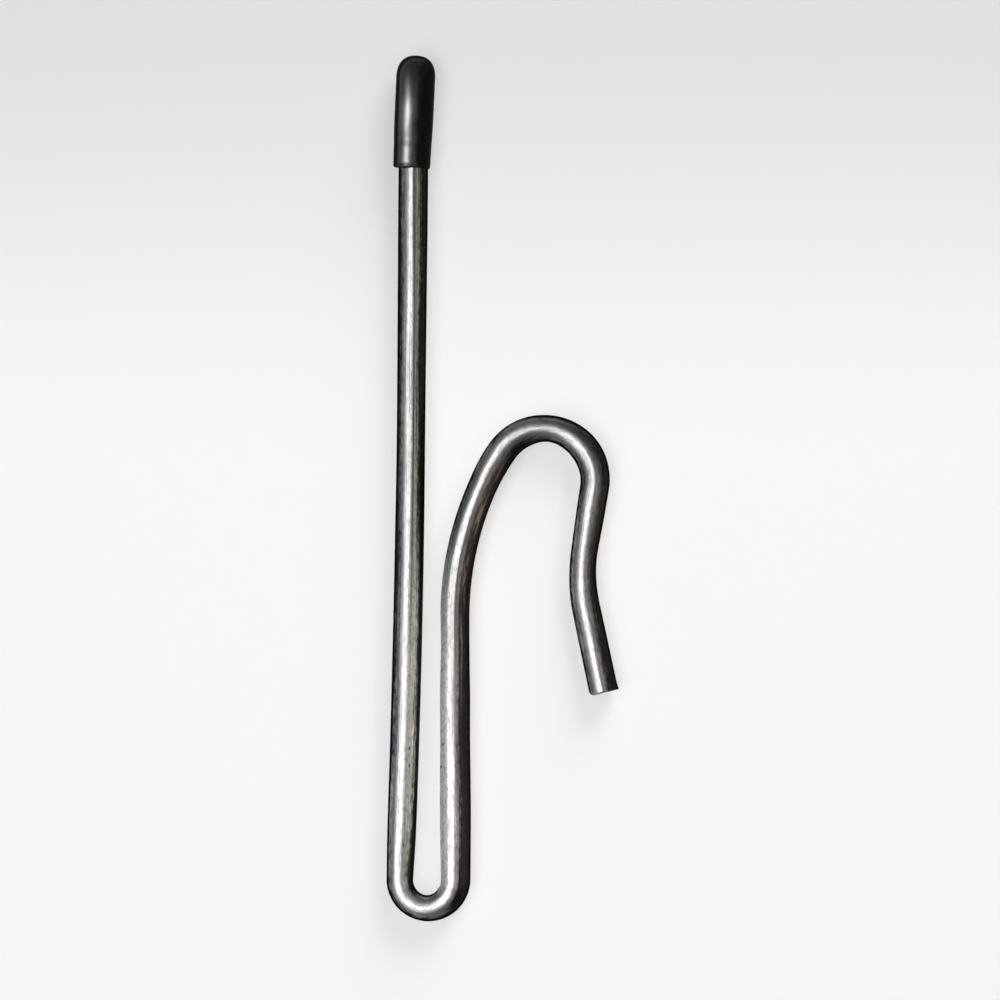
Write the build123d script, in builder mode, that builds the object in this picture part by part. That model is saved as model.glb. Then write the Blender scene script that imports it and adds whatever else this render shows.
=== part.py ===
from build123d import *
from math import radians
import os

# Curtain glider hook, in millimetres and degrees.
#
# One steel wire is bent in a flat plane: a long leg, a tight loop at its foot, a stem that runs
# back up beside the leg, a shoulder that leans away from it, and a crown that turns over into a
# short free end. The curtain's heading is gripped between the leg and the stem, and the crown
# hangs in the eye of a glider. A soft plastic cap is pushed on the end of the leg, so that the
# cut wire does not catch in the cloth.
#
# The hook lies on its side, as it comes to rest, on the floor z = 0. It touches the floor under
# its cap, its loop and its free end. +X runs from the leg towards the free end, +Y runs up the
# stem towards the cap, and +Z is up. The origin is on the floor under the middle of the outline.

# The wire
wire_diameter = 2.32
free_end_rounding = 0.12

# The leg, along the wire from its capped end down to the loop
leg_length = 64.8
leg_bow_run = 30.2  # bowed by a small turn, between two straight stretches
leg_bow_turn = 1.39
leg_foot_run = 7.5  # straight, just above the loop

# The loop turns a little past straight back, so that the leg leans in on the stem
loop_inside_diameter = 2.12
loop_overbend = 2.08

# The stem, and the shoulder and neck that lean away from the leg
stem_run = 20.9
shoulder_radius = 25.8
shoulder_turn = 26.2
neck_radius = 13.8
neck_turn = 9.9

# The crown that hangs in the glider, and the short end below it
crown_inside_diameter = 5.83
crown_turn = 153.1
return_run = 4.9
knee_radius = 13.4
knee_turn = 21.0
free_end_run = 6.8

# The cap: a blind sleeve with a domed end, a straight grip and a mouth that narrows
cap_length = 9.0
cap_wall = 0.43
cap_mouth_wall = 0.31
cap_mouth_length = 3.0
cap_end_wall = 1.0
cap_dome_rounding = 1.28
cap_mouth_rounding = 0.1
cap_clearance = 0.01  # all round, between the bore and the wire

# The cap sits a little askew, and its axis crosses the wire's at this height above its mouth
cap_lean = 2.1
cap_lean_height = 3.85

# Worked out from the sizes above
wire_radius = wire_diameter / 2
leg_lean = loop_overbend - leg_bow_turn
leg_upper_run = leg_length - leg_bow_run - leg_foot_run
leg_bow_radius = leg_bow_run / radians(leg_bow_turn)
loop_radius = loop_inside_diameter / 2 + wire_radius
crown_radius = crown_inside_diameter / 2 + wire_radius
bore_radius = wire_radius + cap_clearance
bore_depth = cap_length - cap_end_wall
cap_radius = bore_radius + cap_wall
cap_mouth_radius = bore_radius + cap_mouth_wall


def wire_path(plane):
    """Return the wire's centre line in a plane, from the end inside the cap to the free end.

    The line starts at the plane's origin, and its stem runs along the plane's Y axis. Each bend
    is an arc tangent to the runs beside it, and a positive turn is counter-clockwise.
    """
    with BuildLine(plane) as path:
        upper_leg = PolarLine((0, 0), leg_upper_run, -90 - leg_lean)
        bow = JernArc(upper_leg @ 1, upper_leg % 1, leg_bow_radius, -leg_bow_turn)
        foot = PolarLine(bow @ 1, leg_foot_run, direction=bow % 1)
        loop = JernArc(foot @ 1, foot % 1, loop_radius, 180 + loop_overbend)
        stem = PolarLine(loop @ 1, stem_run, direction=loop % 1)
        shoulder = JernArc(stem @ 1, stem % 1, shoulder_radius, -shoulder_turn)
        neck = JernArc(shoulder @ 1, shoulder % 1, neck_radius, -neck_turn)
        crown = JernArc(neck @ 1, neck % 1, crown_radius, -crown_turn)
        back = PolarLine(crown @ 1, return_run, direction=crown % 1)
        knee = JernArc(back @ 1, back % 1, knee_radius, knee_turn)
        PolarLine(knee @ 1, free_end_run, direction=knee % 1)
    return path.wire()


def leg_end_plane(plane):
    """Return the plane at the leg's capped end, with its Y axis up along the leg."""
    return Plane(plane * Rotation(0, 0, -leg_lean))


def cap_plane(plane):
    """Return the plane through the cap's axis, from the middle of its mouth up along Y."""
    crossing = leg_end_plane(plane) * Pos(0, cap_lean_height - bore_depth)
    return Plane(crossing * Rotation(0, 0, -cap_lean) * Pos(0, -cap_lean_height))


# How the hook lies: the floor is the plane through three points of its underside. The loop's
# point is three quarters of the way round, under the side of the loop that carries the stem.
flat_path = wire_path(Plane.XY)
loop_arc = flat_path.edges().filter_by(GeomType.CIRCLE).sort_by(SortBy.RADIUS)[0]
loop_foot = loop_arc @ 0.75 - Vector(0, 0, wire_radius)
free_end_foot = flat_path @ 1 - Vector(0, 0, wire_radius)
cap_foot = cap_plane(Plane.XY).from_local_coords(Vector(0, cap_mouth_length, -cap_radius))
floor_normal = (free_end_foot - loop_foot).cross(cap_foot - loop_foot).normalized()

# The middle of the outline, which the wire's own width and the end of the cap make larger
outline = flat_path.bounding_box()
middle_x = (outline.min.X + outline.max.X) / 2
middle_y = (outline.min.Y - wire_radius + outline.max.Y + cap_end_wall) / 2
middle = Vector(middle_x, middle_y, 0)
height = (middle - loop_foot).dot(floor_normal)
floor = Plane(origin=middle - height * floor_normal, x_dir=(1, 0, 0), z_dir=floor_normal)
wire_plane = Plane(floor.location.inverse())


# The wire: one round section carried along the centre line, its sheared end rolled a little
wire_line = wire_path(wire_plane)
with BuildPart() as hook_wire:
    with BuildSketch(Plane(origin=wire_line @ 0, z_dir=wire_line % 0)):
        Circle(wire_radius)
    sweep(path=wire_line)
    ring_edges = hook_wire.edges().filter_by(GeomType.CIRCLE)
    fillet(ring_edges.sort_by_distance(wire_line @ 1)[0], free_end_rounding)

hook_wire.part.label = "hook_wire"

# The cap: half its outline turned about its own axis, then bored along the leg's axis as far as
# the end of the wire, which seats on the bottom of the bore
cap_section = cap_plane(wire_plane)
leg_end = leg_end_plane(wire_plane)
with BuildPart() as leg_cap:
    with BuildSketch(cap_section) as half_outline:
        with BuildLine():
            Polyline(
                (0, 0),
                (cap_mouth_radius, 0),
                (cap_radius, cap_mouth_length),
                (cap_radius, cap_length),
                (0, cap_length),
                close=True,
            )
        make_face()
        corners = half_outline.vertices().group_by(Axis.Y)
        fillet(corners[-1].sort_by(Axis.X)[-1], cap_dome_rounding)
        fillet(corners[0].sort_by(Axis.X)[-1], cap_mouth_rounding)
    revolve(axis=Axis(cap_section.origin, cap_section.y_dir))
    with BuildSketch(Plane(origin=leg_end.origin, z_dir=-leg_end.y_dir)):
        Circle(bore_radius)
    extrude(amount=cap_length, mode=Mode.SUBTRACT)

leg_cap.part.label = "leg_cap"

os.makedirs("parts", exist_ok=True)
export_step(hook_wire.part, "parts/hook_wire.step")
export_step(leg_cap.part, "parts/leg_cap.step")
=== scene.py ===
import math

import bpy
import numpy as np
from mathutils import Matrix, Vector


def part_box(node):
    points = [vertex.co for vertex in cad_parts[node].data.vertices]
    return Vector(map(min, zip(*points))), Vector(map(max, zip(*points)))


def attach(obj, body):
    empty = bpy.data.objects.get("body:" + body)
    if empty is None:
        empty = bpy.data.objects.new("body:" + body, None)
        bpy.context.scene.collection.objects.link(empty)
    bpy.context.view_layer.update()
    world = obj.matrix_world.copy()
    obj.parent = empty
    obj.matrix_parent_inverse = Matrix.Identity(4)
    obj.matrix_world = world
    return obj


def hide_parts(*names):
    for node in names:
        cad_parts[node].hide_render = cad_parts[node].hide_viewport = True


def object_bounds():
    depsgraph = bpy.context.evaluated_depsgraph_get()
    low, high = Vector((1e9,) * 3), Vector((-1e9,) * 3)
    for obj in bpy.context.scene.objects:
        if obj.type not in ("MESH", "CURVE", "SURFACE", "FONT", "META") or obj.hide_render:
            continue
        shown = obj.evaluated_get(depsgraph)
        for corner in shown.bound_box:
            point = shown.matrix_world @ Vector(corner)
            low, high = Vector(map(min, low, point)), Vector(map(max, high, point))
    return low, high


# A curtain glider hook, made as a maker would: the wire bent first, then the cap pushed on its
# long leg. Lengths are in millimetres until they are put into a mesh, a lamp or the camera.
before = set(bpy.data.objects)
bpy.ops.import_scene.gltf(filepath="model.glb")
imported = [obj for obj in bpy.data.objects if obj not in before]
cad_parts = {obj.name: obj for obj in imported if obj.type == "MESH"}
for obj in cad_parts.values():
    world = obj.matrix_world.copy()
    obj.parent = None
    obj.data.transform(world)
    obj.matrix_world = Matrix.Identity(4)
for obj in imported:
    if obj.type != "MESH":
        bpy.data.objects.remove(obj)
cad_low, cad_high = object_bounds()
mm = 0.001


# The camera
#
# It looks straight down on the hook through a long lens, a hair off the middle of it, and it is
# turned by a sixth of a degree, as a camera held by hand over a table is.
view_width = 79.954  # of what is seen, at the height of the wire's middle
view_offset = (-0.076, -0.911)  # from the middle of the hook
view_turn = -0.1716
wire_middle_height = 1.3
lens = 200.0
film_width = 36.0

hook_middle = (cad_low + cad_high) / 2
camera_data = bpy.data.cameras.new("camera")
camera_data.lens = lens
camera_data.sensor_width = film_width
camera_data.clip_start = 0.01
camera_data.clip_end = 20.0
camera = bpy.data.objects.new("camera", camera_data)
camera_height = view_width * lens / film_width + wire_middle_height
camera.location = (
    hook_middle.x + view_offset[0] * mm,
    hook_middle.y + view_offset[1] * mm,
    camera_height * mm,
)
camera.rotation_euler = (0, 0, math.radians(view_turn))
bpy.context.scene.collection.objects.link(camera)
bpy.context.scene.camera = camera


# The floor
#
# A wide sheet of white card. Painted shade darkens it a little towards the far end of the hook, a
# fall-off of light painted into its colour, and it stays plain everywhere else.
card_size = 12000.0
card_squares = 8  # along each side
card_white = (0.93, 0.93, 0.93, 1)
card_shade_grey = (0.74, 0.74, 0.74, 1)
card_white_until = 2.0  # along Y, from the hook's middle
card_shade_from = 42.0


class Shade:
    """A value that a material's nodes work out.

    Python's operators on it add Math nodes, and node() adds any other kind of node.
    """

    def __init__(self, tree, socket=None):
        self.tree = tree
        self.socket = socket

    def node(self, kind, settings, inputs, output=0):
        """Add a node, set its settings, then its inputs by name or place.

        Returns one of its outputs, where it has any.
        """
        made = self.tree.nodes.new("ShaderNode" + kind)
        for name, value in settings.items():
            setattr(made, name, value)
        for name, value in inputs.items():
            if isinstance(value, Shade):
                self.tree.links.new(value.socket, made.inputs[name])
            else:
                made.inputs[name].default_value = value
        if made.outputs:
            return Shade(self.tree, made.outputs[output])

    def math(self, operation, *values):
        """Return what a Math node makes of one or two values."""
        return self.node("Math", {"operation": operation}, dict(enumerate(values)))

    def __add__(self, other):
        return self.math("ADD", self, other)

    def __sub__(self, other):
        return self.math("SUBTRACT", self, other)

    def __rsub__(self, other):
        return self.math("SUBTRACT", other, self)

    def __mul__(self, other):
        return self.math("MULTIPLY", self, other)

    def __truediv__(self, other):
        return self.math("DIVIDE", self, other)

    def __rtruediv__(self, other):
        return self.math("DIVIDE", other, self)

    def __abs__(self):
        return self.math("ABSOLUTE", self)

    __radd__ = __add__
    __rmul__ = __mul__

    def larger(self, other):
        """Return the larger of this and another value."""
        return self.math("MAXIMUM", self, other)

    def distance(self, other):
        """Return the root of the sum of this squared and another squared."""
        return self.math("SQRT", self * self + other * other)

    def rise(self, low, high):
        """Return 0 below low, 1 above high, and a smooth step between them."""
        settings = {"interpolation_type": "SMOOTHSTEP"}
        return self.node("MapRange", settings, {0: self, 1: low, 2: high})

    def between(self, low, full, falling, gone):
        """Return 1 from full to falling, 0 below low and above gone, with smooth steps."""
        return self.rise(low, full) * (1 - self.rise(falling, gone))

    def part(self, axis):
        """Return one part of a vector: 0 for X, 1 for Y, 2 for Z."""
        return self.node("SeparateXYZ", {}, {0: self}, axis)

    def times(self, scales):
        """Return a vector with each part multiplied by its own scale."""
        return self.node("VectorMath", {"operation": "MULTIPLY"}, {0: self, 1: scales})

    def stored(self, name):
        """Return the vector that the mesh stores under a name for each point."""
        return self.node("Attribute", {"attribute_name": name}, {}, 1)

    def grain(self, scales, detail=2.0, offset=0.0):
        """Return noise, 0 to 1, whose grains per metre in X, Y and Z are the scales."""
        inputs = {"Vector": self.times(scales), "W": offset, "Scale": 1.0, "Detail": detail}
        return self.node("TexNoise", {"noise_dimensions": "4D"}, inputs)

    def tint(self, first, second):
        """Return the first colour where this is 0 and the second where it is 1."""
        return self.node("Mix", {"data_type": "RGBA"}, {0: self, 6: first, 7: second}, 2)


def new_material(name):
    """Return a material, and its node tree with nothing in it."""
    material = bpy.data.materials.new(name)
    material.use_nodes = True
    material.node_tree.nodes.clear()
    return material, Shade(material.node_tree)


def new_piece(name, mesh, material):
    """Put a mesh into the scene in its material, and return its object."""
    mesh.materials.append(material)
    piece = bpy.data.objects.new(name, mesh)
    bpy.context.scene.collection.objects.link(piece)
    return piece


def card_mesh():
    """Return a square sheet at z = 0: a grid of points evenly spaced in X and Y."""
    across = card_squares + 1
    side = np.linspace(-0.5, 0.5, across) * card_size * mm
    x, y = np.meshgrid(side, side)
    points = np.stack([x, y, np.zeros_like(x)], axis=-1).reshape(-1, 3)
    first = np.arange(card_squares)[:, None] * across + np.arange(card_squares)
    faces = np.stack([first, first + 1, first + across + 1, first + across], axis=-1)
    mesh = bpy.data.meshes.new("floor")
    mesh.from_pydata(points.tolist(), [], faces.reshape(-1, 4).tolist())
    return mesh


card, shade = new_material("white_card")
away = shade.node("TexCoord", {}, {}, 3).part(1)
card_tone = away.rise(card_white_until * mm, card_shade_from * mm).tint(card_white, card_shade_grey)
card_inputs = {"Base Color": card_tone, "Roughness": 0.9, "Specular IOR Level": 0.0}
shade.node("OutputMaterial", {}, {"Surface": shade.node("BsdfPrincipled", {}, card_inputs)})
floor = new_piece("floor", card_mesh(), card)


# The lights
#
# A softbox, a lamp over the hook's foot, a strip, a glint lamp and a low card make the highlights.
# A wide lamp far off gives the soft shadow, and a ceiling and a fill light the floor evenly. The
# walls of the room show only where the hook mirrors them.
softbox_white = (1.0, 0.99, 0.985)
plain_white = (1.0, 1.0, 1.0)
strip_yellow = (1.0, 0.98, 0.89)
low_card_cream = (1.0, 0.98, 0.9)
shadow_white = (1.0, 0.99, 0.995)
fill_pink = (1.0, 0.98, 1.0)
room_left = (0.185, 0.20, 0.235, 1)
room_right = (0.065, 0.060, 0.055, 1)


def hang_lamp(name, place, size, brightness, colour, shape="ELLIPSE"):
    """Hang a flat lamp at a place, facing the hook's middle, with its width along the floor's X.

    Its power is its brightness times pi and the area that its width and depth enclose.
    """
    lamp = bpy.data.lights.new(name, "AREA")
    lamp.shape = shape
    lamp.size = size[0] * mm
    lamp.size_y = size[1] * mm
    filled = math.pi / 4 if shape == "ELLIPSE" else 1.0
    lamp.energy = brightness * math.pi * filled * lamp.size * lamp.size_y
    lamp.color = colour
    hung = bpy.data.objects.new(name, lamp)
    hung.location = Vector(place) * mm
    back = (hung.location - hook_middle).normalized()
    across = Vector((0, 1, 0)).cross(back).normalized()
    hung.rotation_euler = Matrix((across, back.cross(across), back)).transposed().to_euler()
    hung.visible_camera = False
    bpy.context.scene.collection.objects.link(hung)
    return hung


softbox = hang_lamp("softbox", (-199, -109, 450), (300, 580), 2.7, softbox_white, "RECTANGLE")
foot_box = hang_lamp("foot_box", (-5, -98, 450), (40, 90), 21.0, softbox_white)
strip = hang_lamp("strip", (340, -78, 450), (80, 250), 1.8, strip_yellow, "RECTANGLE")
glint = hang_lamp("glint", (-165, 62, 450), (110, 50), 15.0, plain_white)
low_card = hang_lamp("low_card", (122, -36, 46), (62, 66), 1.6, low_card_cream)
shadow_lamp = hang_lamp("shadow_lamp", (245, 585, 292), (500, 500), 4.2, shadow_white)
ceiling = hang_lamp("ceiling", (60, 60, 560), (900, 900), 0.15, shadow_white)
fill = hang_lamp("fill", (220, 0, 520), (300, 300), 3.85, fill_pink)
for lamp in (softbox, foot_box, fill):
    lamp.data.use_shadow = False
for lamp in (glint, low_card):
    lamp.visible_diffuse = False
for lamp in (shadow_lamp, ceiling, fill):
    lamp.visible_glossy = False

world = bpy.data.worlds.new("room")
world.use_nodes = True
world.node_tree.nodes.clear()
room = Shade(world.node_tree)
towards_right = room.node("TexCoord", {}, {}, 0).part(0)
walls = towards_right.rise(-0.9, 0.6).tint(room_left, room_right)
room.node("OutputWorld", {}, {"Surface": room.node("Background", {}, {"Color": walls})})
world.cycles_visibility.diffuse = False
bpy.context.scene.world = world
bpy.context.scene.view_settings.view_transform = "Standard"


# The wire
#
# One length of drawn steel wire, bent cold in one plane round small formers: a leg, a loop, a
# stem, a crown and a short free end, cut off by a shear. The formers pressed it a little at each
# bend. Its colour carries painted shade on its sides, standing for the dark room that they
# mirror, and painted light on its inner sides and round its loop.
wire_radius = 1.16
leg_lean = 0.69
bends = [  # run along the wire, and turn in degrees, from the capped end on
    (27.1, 0.0),
    (30.2, -1.39),
    (7.5, 0.0),
    (2.22 * math.radians(182.08), 182.08),
    (20.9, 0.0),
    (25.8 * math.radians(26.2), -26.2),
    (13.8 * math.radians(9.9), -9.9),
    (4.075 * math.radians(153.1), -153.1),
    (4.9, 0.0),
    (13.4 * math.radians(21.0), 21.0),
    (6.8, 0.0),
]
loop_bend = 3  # its place in that list
# Where the wire is thinner or thicker across: how far along it, the reach, and the change on its
# left and on its right as a share of its radius
pressings = [
    (10.5, 5.0, 0.030, 0.030),
    (27.0, 9.0, -0.012, -0.012),
    (48.0, 6.0, 0.020, 0.020),
    (65.5, 3.0, -0.100, -0.060),
    (68.3, 1.7, -0.120, 0.000),
    (77.0, 5.0, 0.058, 0.058),
    (86.5, 2.2, 0.030, 0.030),
    (91.0, 1.8, -0.030, 0.000),
    (106.0, 2.0, 0.040, 0.040),
    (111.2, 1.7, -0.030, -0.120),
    (115.0, 1.6, 0.035, 0.035),
    (123.5, 3.0, -0.090, -0.070),
]
# How the formers rolled its top: place along it, how far its crest moved to the left, and how
# far it flattened there, both as shares of its radius
rolls = [
    (12.0, 0.0, 0.0),
    (28.0, -0.015, 0.0),
    (50.0, -0.010, 0.0),
    (60.0, -0.025, 0.0),
    (64.0, -0.045, 0.0),
    (68.0, 0.01, 0.012),
    (71.0, 0.115, 0.0),
    (76.0, 0.065, 0.012),
    (84.0, 0.155, 0.032),
    (91.0, 0.08, 0.010),
    (104.0, 0.06, 0.0),
    (109.0, 0.09, 0.0),
    (112.0, 0.06, 0.0),
    (115.0, -0.015, 0.0),
    (119.0, -0.03, 0.0),
    (124.0, 0.0, 0.0),
    (129.0, -0.03, 0.0),
    (133.0, -0.085, 0.0),
]
flat_side = math.radians(66)  # from the wire's left
ovalness = 0.006
oval_run = 3.1  # of wire, over which the oval turns by half a radian
buried_end = 0.8  # where the wire stops short of the bottom of the cap
buried_corner = 0.25
cut_zone = 0.8  # of wire, that the cut end takes
cut_slant = 2.0  # degrees off square
cut_short = 0.02  # how far the middle of the cut lies short of the wire's length
cut_roll = 0.38  # rounding of the corner where the shear went in
cut_edge = 0.05  # and where it came out
cut_burr = 0.06  # how far the edge stands out there
cut_ripples = (0.012, 0.008)  # of the edge: three round it, and seven
cut_wave = 0.03  # height of the waves across the cut
cut_wave_turn = 2.2  # radians of them in a millimetre
corner_rings = 9
face_rings = 8
around_wire = 64
along_wire = 1000
bare_bright = (0.66, 0.66, 0.655, 1)
bare_dull = (0.50, 0.50, 0.505, 1)
# Painted light, brightening the inner sides of the leg and stem and the loop
painted_light_bright = (0.86, 0.86, 0.85, 1)
# A painted reflection tint, olive, where the leg mirrors the yellow strip
olive_reflection_tint = (0.60, 0.61, 0.49, 1)
# Brown: partly the film's own colour on the shoulder and crown, partly painted shade that dims
# highlights
brown_and_shade_dark = (0.13, 0.115, 0.105, 1)
draw_line_grey = (0.15, 0.15, 0.14, 1)
die_line_grey = (0.12, 0.12, 0.11, 1)
mottle_grey = (0.16, 0.16, 0.16, 1)
speckle_grey = (0.20, 0.20, 0.20, 1)
# Painted shade for the wire's sides: its dark tone, and a lighter one where it is broken
flank_shade_dark = (0.028, 0.025, 0.026, 1)
flank_shade_light = (0.11, 0.095, 0.088, 1)
scraped_brown = (0.24, 0.20, 0.18, 1)
# Painted shade for the dark line below the cap
shade_line_grey = (0.12, 0.12, 0.115, 1)
rust_pink = (0.88, 0.72, 0.68, 1)
pit_black = (0.07, 0.065, 0.06, 1)
cut_dark = (0.27, 0.27, 0.27, 1)
cut_light = (0.38, 0.38, 0.37, 1)


runs, turns = (np.array(column) for column in zip(*bends))
turns = np.radians(turns)
starts = np.concatenate([[0], np.cumsum(runs)])
headings = math.radians(-90 - leg_lean) + np.concatenate([[0], np.cumsum(turns)])
wire_length = starts[-1]
rolled_at, rolled_left, rolled_flat = np.array(rolls).T


def chord(run, turn, heading):
    """Return where an arc leads to from its start.

    The chord's length is the run times sin(half turn) / half turn, and it points half the turn
    past the heading. A straight run is an arc that turns by nothing.
    """
    length = run * np.sinc(turn / 2 / math.pi)
    half_way = heading + turn / 2
    return np.stack([length * np.cos(half_way), length * np.sin(half_way)], axis=-1)


corners = np.concatenate([[[0, 0]], np.cumsum(chord(runs, turns, headings[:-1]), axis=0)])


def centre_line(along):
    """Return the centre line's points and headings, in the plane of the bends.

    Each point is its bend's first corner plus the chord of the part of the bend that is run.
    """
    bend = np.clip(np.searchsorted(starts, along, side="right") - 1, 0, len(runs) - 1)
    run = along - starts[bend]
    turn = turns[bend] * run / runs[bend]
    return corners[bend] + chord(run, turn, headings[bend]), headings[bend] + turn


def pressed(along, side):
    """Return how far the wire's left (side 0) or right (side 1) is pressed in or out there.

    It is a share of the radius: the sum of the pressings, each a bell curve along the wire.
    """
    return sum(np.exp(-(((along - at) / reach) ** 2)) * sides[side] for at, reach, *sides in pressings)


def section(along, turn, radius):
    """Return points round the wire, from arrays of the place along it, the angle and the radius.

    The angle starts on the wire's left and goes over its top, and the pressings change each
    side's half width. The section is a little oval. Its top is rolled over by a sine of twice the
    angle and flattened by a cosine of four times the angle, and both fade towards its underside.
    """
    across = np.cos(turn) * radius
    across = across * (1 + np.where(across > 0, pressed(along, 0), pressed(along, 1)))
    moved = np.interp(along, rolled_at, rolled_left) * np.sin(2 * turn)
    moved = moved - np.interp(along, rolled_at, rolled_flat) * np.cos(4 * (turn - flat_side))
    oval = 1 + ovalness * np.cos(2 * turn + along / oval_run) + moved * (0.5 + 0.5 * np.sin(turn))
    within = np.clip(along, 0, wire_length)
    point, heading = centre_line(within)
    beyond = along - within
    x = point[..., 0] + np.cos(heading) * beyond - np.sin(heading) * across * oval
    y = point[..., 1] + np.sin(heading) * beyond + np.cos(heading) * across * oval
    return np.stack([x, y, np.sin(turn) * radius * oval], axis=-1)


def wire_rings():
    """Return the wire as rings: how far along, the angle, and the radius, each on one grid.

    Both ends are closed by rings that turn over a rounded corner, a quarter circle, and shrink to
    the middle of the face. The free end's corner is widest where the shear went in, by a power of
    the angle's cosine, and on the other side the edge flares into a burr.
    """
    turn = np.linspace(0, 2 * math.pi, around_wire, endpoint=False)
    lean = np.radians(90) * np.linspace(0, 1, corner_rings)[:, None]
    shrink = np.linspace(1, 0, face_rings + 2)[1:-1, None] ** 0.8

    buried_face = np.full_like(shrink, buried_end) + 0 * turn
    buried_face_radius = (wire_radius - buried_corner) * shrink[::-1] + 0 * turn
    buried = buried_end + buried_corner * (1 - np.sin(lean[::-1])) + 0 * turn
    buried_radius = wire_radius - buried_corner * (1 - np.cos(lean[::-1])) + 0 * turn

    body_start = buried_end + buried_corner + 0.05
    body = np.linspace(body_start, wire_length - cut_zone, along_wire)[:, None] + 0 * turn
    body_radius = np.full_like(body, wire_radius)

    cut_middle = wire_length - cut_short
    shear_side = (0.5 - 0.5 * np.cos(turn)) ** 1.5
    corner = cut_edge + (cut_roll - cut_edge) * shear_side
    slant = -math.tan(math.radians(cut_slant)) * wire_radius * np.cos(turn)
    ripple = cut_ripples[0] * np.sin(3 * turn + 0.6) + cut_ripples[1] * np.sin(7 * turn)
    shoulder = cut_middle + slant + ripple - corner
    share = np.linspace(0, 1, corner_rings)[1:-1, None]
    neck = (wire_length - cut_zone) * (1 - share) + shoulder * share
    flare = cut_burr * (0.5 + 0.5 * np.cos(turn)) ** 4
    neck_radius = wire_radius + flare * share**3
    end = shoulder + corner * np.sin(lean)
    end_radius = wire_radius + flare - corner * (1 - np.cos(lean))
    face_radius = (wire_radius + flare - corner) * shrink
    waves = cut_wave * np.sin(cut_wave_turn * face_radius * np.cos(turn - 0.5)) * (1 - shrink)
    face = (shoulder + corner) * shrink + cut_middle * (1 - shrink) + waves

    along = np.concatenate([buried_face, buried, body, neck, end, face])
    buried_radii = [buried_face_radius, buried_radius]
    radius = np.concatenate([*buried_radii, body_radius, neck_radius, end_radius, face_radius])
    return along, np.broadcast_to(turn, along.shape), radius


def closed_mesh(name, rings, first, last):
    """Return a mesh of rings of points joined by quads, with a point closing each end."""
    rows, around = rings.shape[:2]
    points = np.concatenate([first[None], rings.reshape(-1, 3), last[None]]) * mm
    row = np.arange(rows - 1)[:, None] * around + 1
    here = np.arange(around)
    after = (here + 1) % around
    quads = np.stack([row + here, row + after, row + around + after, row + around + here], axis=-1)
    base = (rows - 1) * around + 1
    first_fan = np.stack([0 * here, 1 + after, 1 + here], axis=-1)
    last_fan = np.stack([0 * here + rows * around + 1, base + here, base + after], axis=-1)
    faces = quads.reshape(-1, 4).tolist() + first_fan.tolist() + last_fan.tolist()
    mesh = bpy.data.meshes.new(name)
    mesh.from_pydata(points.tolist(), [], faces)
    mesh.polygons.foreach_set("use_smooth", np.ones(len(mesh.polygons), bool))
    return mesh


def store_lay(mesh, lay):
    """Store for the material each point's place on its piece, and the way that it faces.

    The place is across, up and along, in metres. The way is the surface's normal.
    """
    ways = np.empty(lay.size, np.float32)
    mesh.vertex_normals.foreach_get("vector", ways)
    for name, values in (("lay", (lay * mm).astype(np.float32).ravel()), ("way", ways)):
        attribute = mesh.attributes.new(name, "FLOAT_VECTOR", "POINT")
        attribute.data.foreach_set("vector", values)


# How the hook rests. The floor touches it under the loop, the free end and the cap, so the cap's
# place and the sizes that reach the floor come first.
bore_depth = 8.0
cap_lean = 2.1
cap_lean_height = 3.85
cap_radius = 1.6
cap_mouth_length = 3.0

leg_way = -np.array([math.cos(headings[0]), math.sin(headings[0]), 0])
leg_side = np.array([leg_way[1], -leg_way[0], 0])
lean = math.radians(cap_lean)
cap_way = leg_way * math.cos(lean) + leg_side * math.sin(lean)
cap_side = leg_side * math.cos(lean) - leg_way * math.sin(lean)
cap_mouth = leg_way * (cap_lean_height - bore_depth) - cap_way * cap_lean_height

loop_foot_place = starts[loop_bend] + 0.75 * runs[loop_bend]  # under the stem's side
loop_point = centre_line(np.array([loop_foot_place]))[0][0]
up = np.array([0, 0, 1.0])
loop_foot = np.array([*loop_point, -wire_radius])
end_foot = np.array([*corners[-1], -wire_radius])
cap_foot = cap_mouth + cap_way * cap_mouth_length - up * cap_radius
floor_normal = np.cross(end_foot - loop_foot, cap_foot - loop_foot)
floor_normal /= np.linalg.norm(floor_normal)
floor_x = np.array([1, 0, 0]) - floor_normal[0] * floor_normal
floor_x /= np.linalg.norm(floor_x)
lie_axes = np.stack([floor_x, np.cross(floor_normal, floor_x), floor_normal])

fine_steps = 20001
line = centre_line(np.linspace(0, wire_length, fine_steps))[0]
line = np.concatenate([line, np.zeros((fine_steps, 1))], axis=1) @ lie_axes.T
lie_shift = np.array(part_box("hook_wire")[0]) / mm - (line.min(axis=0) - wire_radius)
lie_shift[2] = -(lie_axes @ loop_foot)[2]


def lie_down(points):
    """Lay points of the bend plane on the floor, as the hook lies there.

    The axes turn so that the plane through the three feet is level, and the hook moves so that
    its loop's foot is on the floor and its wire's low X and Y are those of the CAD wire.
    """
    return points @ lie_axes.T + lie_shift


ring_along, ring_turn, ring_radius = wire_rings()
rings = lie_down(section(ring_along, ring_turn, ring_radius))
face_middles = np.array([buried_end, wire_length - cut_short])
ends = lie_down(section(face_middles, np.zeros(2), np.zeros(2)))
wire_mesh = closed_mesh("wire", rings, ends[0], ends[1])
across_and_up = [np.cos(ring_turn) * ring_radius, np.sin(ring_turn) * ring_radius]
ring_lay = np.stack([*across_and_up, ring_along], axis=-1).reshape(-1, 3)
store_lay(wire_mesh, np.concatenate([[[0, 0, buried_end]], ring_lay, [[0, 0, wire_length]]]))

# The steel's colour carries painted shade and painted light, besides its own tones and marks
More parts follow.
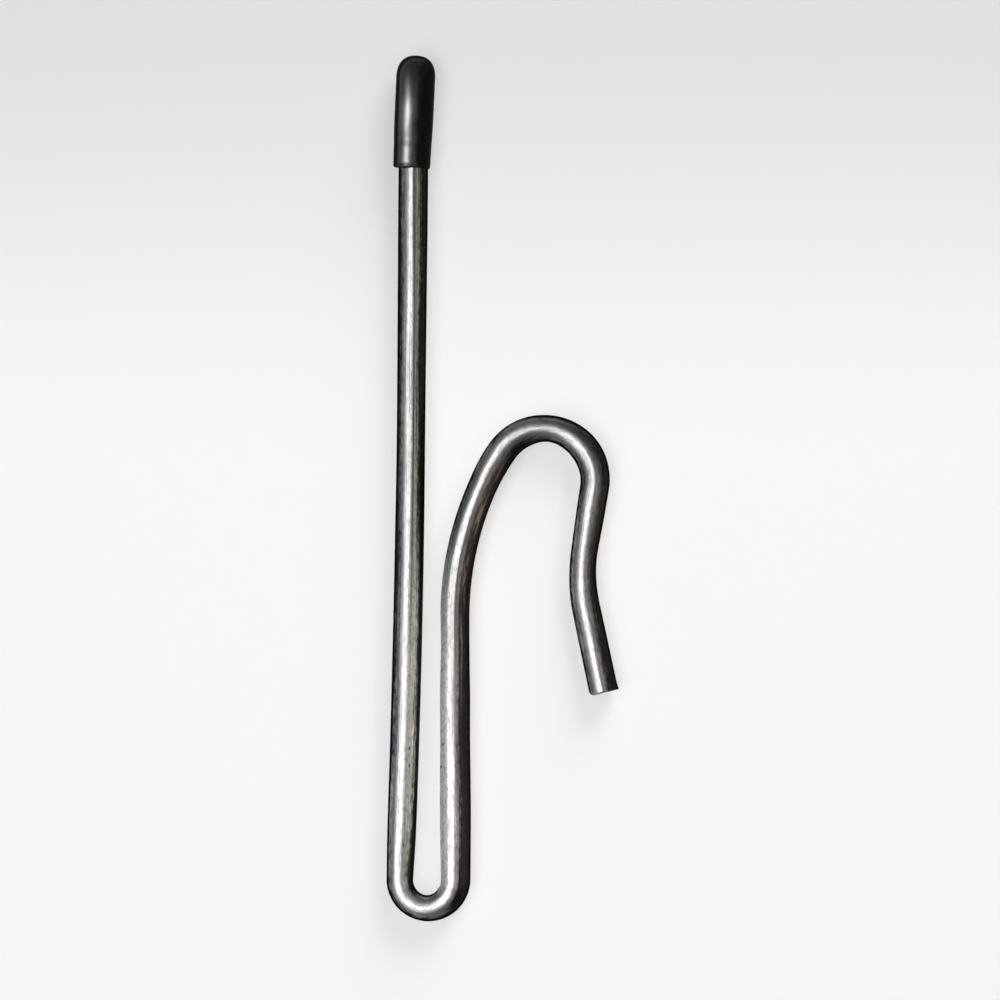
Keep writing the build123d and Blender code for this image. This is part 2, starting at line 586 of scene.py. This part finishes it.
steel, shade = new_material("steel_painted_shade_light")
lay = shade.stored("lay")
facing_right = shade.stored("way").part(0)
left = lay.part(0) / (wire_radius * mm)
height = lay.part(1) / (wire_radius * mm)
along = lay.part(2) / mm
draw_lines = lay.grain((9000, 9000, 90))
fine_lines = lay.grain((20000, 20000, 420), 1.0, 3.0)
die_lines = lay.grain((5200, 5200, 14), 3.0, 5.0)
blotches = lay.grain((1800, 1800, 260), 3.0, 7.0)
mottle = lay.grain((5200, 5200, 1700), 2.0, 9.0)
film_lines = lay.grain((3000, 3000, 380), 2.0, 11.0)
speckle = lay.grain((9000, 9000, 4200), 1.0, 13.0)
shear_lines = lay.grain((700, 9000, 0), 3.0, 17.0)

# Places on the wire where painted shade, painted light and films are laid on below. Each place is
# told by how far along the wire it lies, in millimetres from the capped end, and by left, which
# goes from -1 on the wire's right to 1 on its left.
leg_inside = left.rise(0.0, 0.2) * along.between(32, 46, 52, 69)
leg_outside = (1 - left.rise(-0.4, -0.1)) * (1 - along.rise(52, 62))
stem_inside = left.rise(0.25, 0.5) * along.between(68.5, 73.5, 88, 102)
stem_outside = (1 - left.rise(-0.15, 0.1)) * along.between(68, 72, 109, 113)
shoulder_right = (1 - left.rise(-0.15, 0.1)) * along.between(84, 94, 108, 112)
crown_outside = left.rise(-0.15, 0.3) * along.between(111, 114, 120, 124)
crown_inside = (1 - left.rise(-0.65, -0.35)) * along.between(106, 108, 110, 114)
crown_rim = left.rise(0.5, 0.75) * along.between(109, 111, 113, 115)
loop = along.between(62, 66, 70, 75)
loop_outside = (1 - left.rise(-0.5, 0.0)) * loop
loop_inside = left.between(-0.1, 0.15, 0.4, 0.6) * along.between(64.5, 67, 69, 71)
return_outside = left.rise(-0.1, 0.2) * along.between(115, 118, 124, 128)
end_inside = (1 - left.rise(-0.4, -0.1)) * along.rise(112, 116)
straight = 1 - loop * 0.8 - along.between(104, 109, 113, 118) * 0.7

# Painted shade: the sides are darkened, as if they mirrored a dark room, and it reaches furthest
# on the side that faces right. It is broken by lighter lines and speckles, most of all low down,
# and it is weaker on the underside. Height goes from -1 underneath to 1 on top.
right_shade_reach = facing_right + 0.27 + stem_outside * 0.12 + along.rise(129, 132) * 0.1
side = abs(left).larger(right_shade_reach - leg_inside * 0.18)
side = side + leg_outside * 0.10 - end_inside * 0.03 + crown_inside * 0.14
side = side + crown_rim * 0.12 + return_outside * 0.08 - stem_inside * 0.7 + loop_outside * 0.12
wander = (blotches - 0.5) * 0.25 + (draw_lines - 0.5) * 0.4 + (mottle - 0.5) * 0.3
flank_shade = (side + wander).rise(0.58, 0.92) * (0.4 + height.rise(-0.6, -0.15) * 0.6)
flank_shade_lines = draw_lines * straight + mottle * (1 - straight)
low_down = 1 - height.rise(0.05, 0.4)
flank_shade_breaks = flank_shade_lines.rise(0.45, 0.7) * (0.15 + shoulder_right * 0.5 + low_down * 0.6)
flank_shade_breaks = flank_shade_breaks + speckle.rise(0.5, 0.8) * 0.3

# The bare metal, with the lines of the die in it and films over it. Painted light and a painted
# highlight brighten the inner sides of the leg and the stem and the loop, where they mirror the
# bright floor and each other.
painted_light = stem_inside + leg_inside * 0.3 + loop * 0.2 + loop_inside
lined = straight * (0.40 - stem_inside * 0.25)
# An olive painted reflection on the leg's left side
olive_painted_reflection = left.rise(0.0, 0.3) * (1 - along.rise(58, 66)) * 0.6
# Painted shade dims the highlight at the free end, the crown and the top of the leg. On the right side
# of the shoulder and the outside of the crown the brown is partly the film's colour and partly painted
# shade.
end_painted_shade = left.rise(-0.1, 0.25) * along.rise(118, 124) * 0.3
crown_painted_shade = (1 - left.rise(-0.1, 0.1)) * along.between(109, 112, 116, 119) * 0.3
leg_top_painted_shade = (1 - left.rise(0.0, 0.2)) * (1 - along.rise(14, 20)) * 0.28
film_and_painted_shade = (shoulder_right + crown_outside) * 0.6 + end_painted_shade + crown_painted_shade + leg_top_painted_shade
metal = blotches.rise(0.35, 0.7).tint(bare_bright, bare_dull)
metal = olive_painted_reflection.tint(metal, olive_reflection_tint)
metal = painted_light.tint(metal, painted_light_bright)
metal = (draw_lines.rise(0.5, 0.62) * lined).tint(metal, draw_line_grey)
metal = (die_lines.rise(0.52, 0.60) * lined).tint(metal, die_line_grey)
metal = (mottle.rise(0.46, 0.68) * 0.45).tint(metal, mottle_grey)
metal = (speckle.rise(0.5, 0.75) * 0.5).tint(metal, speckle_grey)
metal = film_and_painted_shade.tint(metal, brown_and_shade_dark)
metal = flank_shade.tint(metal, flank_shade_breaks.tint(flank_shade_dark, flank_shade_light))

# A brown scrape down the right side of the shoulder, and a long dark line below the cap: painted
# shade, the dark gap between the highlight and the strip's reflection
scrape = 1 - (abs(left + 0.54) * 5).rise(0.4, 1.2)
scrape = scrape * along.between(84, 92, 103, 108) * film_lines.rise(0.48, 0.58)
metal = (scrape * 0.7).tint(metal, scraped_brown)
deep = 1 - along.rise(12, 20)
shade_line_side = 0.06 + along.rise(8, 22) * 0.12
shade_line = 1 - (abs(left - shade_line_side) * (11 - deep * 3)).rise(0.3, 1.1)
shade_line = shade_line * (1 - along.rise(34, 50)) * (0.45 + draw_lines * 0.6 + deep * 0.3)
metal = shade_line.tint(metal, shade_line_grey)


def spot(place, on_left, reach_along, reach_across):
    """Return 1 at a place on the wire, fading to 0 at a ragged edge with the distance from it."""
    far = ((along - place) / reach_along).distance((left - on_left) / reach_across)
    return 1 - (far + (mottle - 0.5) * 1.8).rise(0.3, 1.0)


# Pits, each told as a spot is, and one fleck of rust
pit_places = [
    (54.3, 0.35, 0.20, 0.085),
    (55.2, 0.17, 0.17, 0.07),
    (55.7, 0.40, 0.22, 0.09),
    (58.1, 0.28, 0.15, 0.06),
    (62.0, 0.15, 0.35, 0.07),
    (80.9, 0.88, 0.17, 0.09),
    (82.7, 0.75, 0.17, 0.10),
    (117.0, 0.42, 0.15, 0.06),
]
pits = sum(spot(*pit) for pit in pit_places)
rust = spot(52.9, 0.53, 0.8, 0.11)
metal = (rust * 0.9).tint(metal, rust_pink)
metal = (pits.rise(0.0, 0.9) * 0.8).tint(metal, pit_black)

# The cut face is torn across in lines. Everywhere else the bumps are the grooves of the die.
cut_face = 1 - left.distance(height).rise(0.78, 0.95)
metal = cut_face.tint(metal, shear_lines.rise(0.3, 0.7).tint(cut_dark, cut_light))
grooves = (draw_lines + fine_lines * 0.5 + die_lines * 1.6) * straight + mottle * 1.6
relief = grooves * (1 - cut_face) + shear_lines * cut_face * 1.6 - pits * 1.5
steel_inputs = {
    "Base Color": metal,
    "Metallic": 1 - stem_inside * 0.5 - leg_inside * 0.12 - rust * 0.4,
    "Roughness": 0.25 + (blotches + mottle + draw_lines) * 0.08 + loop_inside * 0.12,
    "Specular Tint": (0.02, 0.02, 0.02, 1),
    "Normal": shade.node("Bump", {}, {"Strength": 1.0, "Distance": 0.006 * mm, "Height": relief}),
}
shade.node("OutputMaterial", {}, {"Surface": shade.node("BsdfPrincipled", {}, steel_inputs)})

wire = new_piece("wire", wire_mesh, steel)
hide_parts("hook_wire")
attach(wire, "root")


# The cap
#
# A soft black vinyl sleeve with a domed end, dipped and cut square at its mouth. It is pushed
# on the leg, sits a little askew there and grips the wire by its mouth.
cap_length = 9.0
bore_radius = 1.17
mouth_radius = 1.475
mouth_swell = 0.085  # how much higher the mouth is than it is wide
mouth_lip = 0.14  # rounding of its edge
mouth_waves = (0.03, 0.02)  # two round the mouth, and five
grip_height = 4.2  # above the mouth, where the wall has widened to the grip
grip_squeeze = 0.055  # how much narrower the grip is than it is high
groove_height = 1.9  # where a faint ring goes round it
groove_depth = 0.010
groove_reach = 0.3
dome_start_side = 7.25
dome_start_top = 5.1
dome_power = 2.35
askew_low = 0.085  # how far its top leans to one side at the mouth, as a share of the radius
askew_high = 0.11  # and how far from the next height up
askew_height = 5.0
around_cap = 128
vinyl_black = (0.0036, 0.0026, 0.0023, 1)
vinyl_worn = (0.008, 0.007, 0.007, 1)


def cap_rings():
    """Return the cap as rings from the middle of its dome, down over its mouth and up its bore.

    The dome is half of a rounded block, sine and cosine to a power under one, that starts lower
    on the top than on the sides. The wall widens from the mouth to the grip by a smooth step, less
    a bell curve for the groove. The top leans to one side by a sine of twice the angle, which
    fades out underneath. The bore is a round hole along the wire.
    """
    turn = np.linspace(0, 2 * math.pi, around_cap, endpoint=False)
    dome_start = dome_start_side + (dome_start_top - dome_start_side) * np.sin(turn) ** 2
    grip_radius = cap_radius - grip_squeeze * np.cos(turn) ** 2

    lean = np.radians(np.linspace(88.5, 0, 40))[:, None]
    dome = dome_start + (cap_length - dome_start) * np.sin(lean) ** (2 / dome_power)
    dome_radius = grip_radius * np.cos(lean) ** (2 / dome_power)

    wall = mouth_lip + (dome_start - mouth_lip) * np.linspace(1, 0, 70)[1:, None]
    widened = np.clip(wall / grip_height, 0, 1)
    mouth_wall = mouth_radius + mouth_swell * np.sin(turn) ** 2
    wall_radius = mouth_wall + (grip_radius - mouth_wall) * widened * widened * (3 - 2 * widened)
    groove = np.exp(-(((wall - groove_height) / groove_reach) ** 2))
    wall_radius = wall_radius - groove_depth * groove

    roll = np.radians(np.linspace(0, 90, 6))[1:, None]
    wave = mouth_waves[0] * np.sin(2 * turn + 1.0) + mouth_waves[1] * np.sin(5 * turn)
    mouth = mouth_lip * (1 - np.sin(roll)) + wave * np.sin(roll)
    mouth_rim = mouth_wall - mouth_lip * (1 - np.cos(roll))

    height = np.concatenate([dome, wall, mouth])
    radius = np.concatenate([dome_radius, wall_radius, mouth_rim])
    askew = askew_low + (askew_high - askew_low) * np.clip(height / askew_height, 0, 1)
    radius = radius * (1 - askew * np.sin(2 * turn) * (0.5 + 0.5 * np.sin(turn)))
    cap_round = np.cos(turn)[:, None] * cap_side + np.sin(turn)[:, None] * up
    outer = cap_mouth + height[..., None] * cap_way + radius[..., None] * cap_round

    near_mouth = np.linspace(0, 1, 5)
    depth = np.concatenate([near_mouth, np.linspace(1.6, bore_depth - buried_end, 12)])[:, None]
    bore = depth + wave * np.clip(1 - depth, 0, 1)
    leg_round = np.cos(turn)[:, None] * leg_side + np.sin(turn)[:, None] * up
    inner = leg_way * (bore - bore_depth)[..., None] + bore_radius * leg_round
    return np.concatenate([outer, inner])


cap_points = cap_rings()
cap_ends = np.stack([cap_mouth + cap_way * cap_length, -leg_way * buried_end])
down_ends = lie_down(cap_ends)
cap_mesh = closed_mesh("cap", lie_down(cap_points), down_ends[0], down_ends[1])
from_mouth = np.concatenate([cap_ends[:1], cap_points.reshape(-1, 3), cap_ends[1:]]) - cap_mouth
store_lay(cap_mesh, from_mouth @ np.stack([cap_side, up, cap_way], axis=-1))

vinyl, shade = new_material("black_vinyl")
lay = shade.stored("lay")
facing_right = shade.stored("way").part(0)
height = lay.part(2) / mm
peel = lay.grain((2600, 2600, 1500), 3.0)
film = lay.grain((1500, 1500, 700), 3.0, 5.0)
vinyl_tone = film.rise(0.4, 0.75).tint(vinyl_black, vinyl_worn)
relief = peel * 1.5 + film * 2.5
normal = shade.node("Bump", {}, {"Strength": 1.0, "Distance": 0.006 * mm, "Height": relief})
glossy_inputs = {
    "Base Color": vinyl_tone,
    "Roughness": 0.27 + film * 0.18,
    "IOR": 2.9,
    "Coat Weight": height.between(2.5, 4.6, 6.4, 8.4),
    "Coat Roughness": 0.5,
    "Coat IOR": 1.7,
    "Normal": normal,
}
matt_inputs = {
    "Base Color": vinyl_tone,
    "Roughness": 0.6,
    "Specular IOR Level": 0.03,
    "Normal": normal,
}

# Where it is matt: at its edges and on its right side, at its rim and its dome and round the
# groove, told by millimetres above the mouth, and in spots
edge = shade.node("LayerWeight", {}, {"Blend": 0.5}, 1).rise(0.08, 0.45)
dull = edge.larger((facing_right + (film - 0.5) * 0.5).rise(-0.06, 0.55))
dull = dull.larger((1 - (height + film * 0.3).rise(0.35, 0.65)) * 0.75)
dull = dull.larger((height + film * 1.2).rise(4.9, 6.6) * 0.6)
dull = dull.larger((film + peel * 0.3).rise(0.62, 0.8) * 0.3)
dull = dull.larger((1 - (abs(height - groove_height) * 2.2).rise(0.2, 1.0)) * 0.4)
glossy = shade.node("BsdfPrincipled", {}, glossy_inputs)
matt = shade.node("BsdfPrincipled", {}, matt_inputs)
surface = shade.node("MixShader", {}, {0: dull, 1: glossy, 2: matt})
shade.node("OutputMaterial", {}, {"Surface": surface})

cap = new_piece("cap", cap_mesh, vinyl)
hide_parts("leg_cap")
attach(cap, "root")
